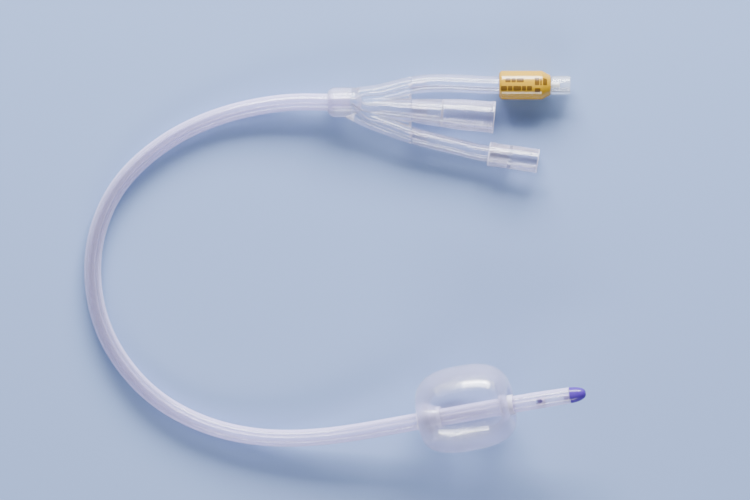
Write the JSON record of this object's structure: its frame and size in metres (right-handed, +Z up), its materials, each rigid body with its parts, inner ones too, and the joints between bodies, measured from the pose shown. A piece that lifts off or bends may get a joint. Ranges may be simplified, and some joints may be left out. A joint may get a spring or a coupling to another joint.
{
  "type": "balloon urinary catheter",
  "caption": "Silicone urinary catheter in a loose C curve, with an inflated balloon, drainage eyes, a moulded junction, a drainage funnel, an irrigation arm and a valved inflation arm.",
  "frame": {"origin": "centre of the whole part's box, on the table it lies on", "axes": "+X along the arms, from the junction towards their mouths; +Y towards the arms' side of the C curve; +Z up from the table"},
  "size_m": [0.1954, 0.149, 0.0349],
  "materials": {
    "milky_silicone": "satin, milky and translucent",
    "clear_silicone": "smooth, clear with a faint haze",
    "balloon_membrane": "thin, stretched and glossy",
    "violet_silicone": "satin, violet tint",
    "yellow_sleeve": "semi-gloss yellow",
    "clear_plastic": "clear and polished",
    "white_plastic": "moulded white",
    "seal_rubber": "matt grey",
    "spring_steel": "bright drawn wire"
  },
  "bodies": {
    "catheter": {"catheter_shaft": "milky_silicone", "catheter_tip": "violet_silicone", "balloon": "balloon_membrane", "junction_hub": "clear_silicone", "drainage_funnel": "clear_silicone", "inflation_arm": "milky_silicone", "irrigation_arm": "milky_silicone", "irrigation_cuff": "clear_silicone", "valve_sleeve": "yellow_sleeve", "valve_body": "clear_plastic", "valve_retainer": "white_plastic", "valve_spring": "spring_steel"},
    "valve_plunger": {"valve_stem": "white_plastic", "valve_seal": "seal_rubber"}
  },
  "joints": [
    {"name": "valve_press", "type": "slide", "parent": "catheter", "child": "valve_plunger", "axis": [-1, 0, 0], "range_m": [0, 0.0016], "stiffness_N_per_m": 400, "springref_m": -0.002, "deforming": ["valve_spring"]}
  ]
}
